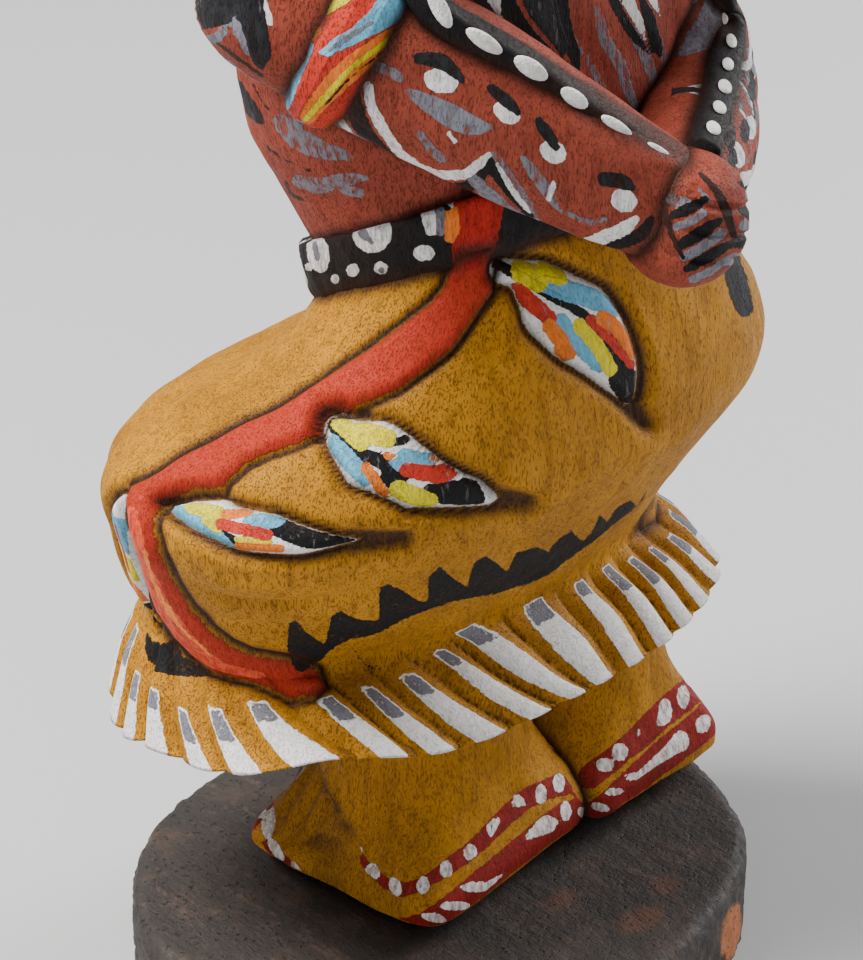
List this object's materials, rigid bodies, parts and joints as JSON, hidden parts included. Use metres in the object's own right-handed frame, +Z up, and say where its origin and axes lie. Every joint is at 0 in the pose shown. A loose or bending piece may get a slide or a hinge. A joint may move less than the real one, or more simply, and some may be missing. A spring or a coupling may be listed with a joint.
{
  "type": "native american doll",
  "caption": "Carved and painted wooden doll of a standing figure in a fringed, feathered robe, hands clasped in front, on a low round block.",
  "frame": {"origin": "a point of the block's underside, where the doll rests, 2.5 mm from the underside's middle", "axes": "+Z up, figure faces -Y, its right side at -X"},
  "size_m": [0.0962, 0.0751, 0.2168],
  "materials": {
    "figure": "hand-painted and antiqued, matt",
    "base": "dark stain, rough"
  },
  "bodies": {
    "root": {"figure": "figure", "base": "base"}
  },
  "joints": []
}
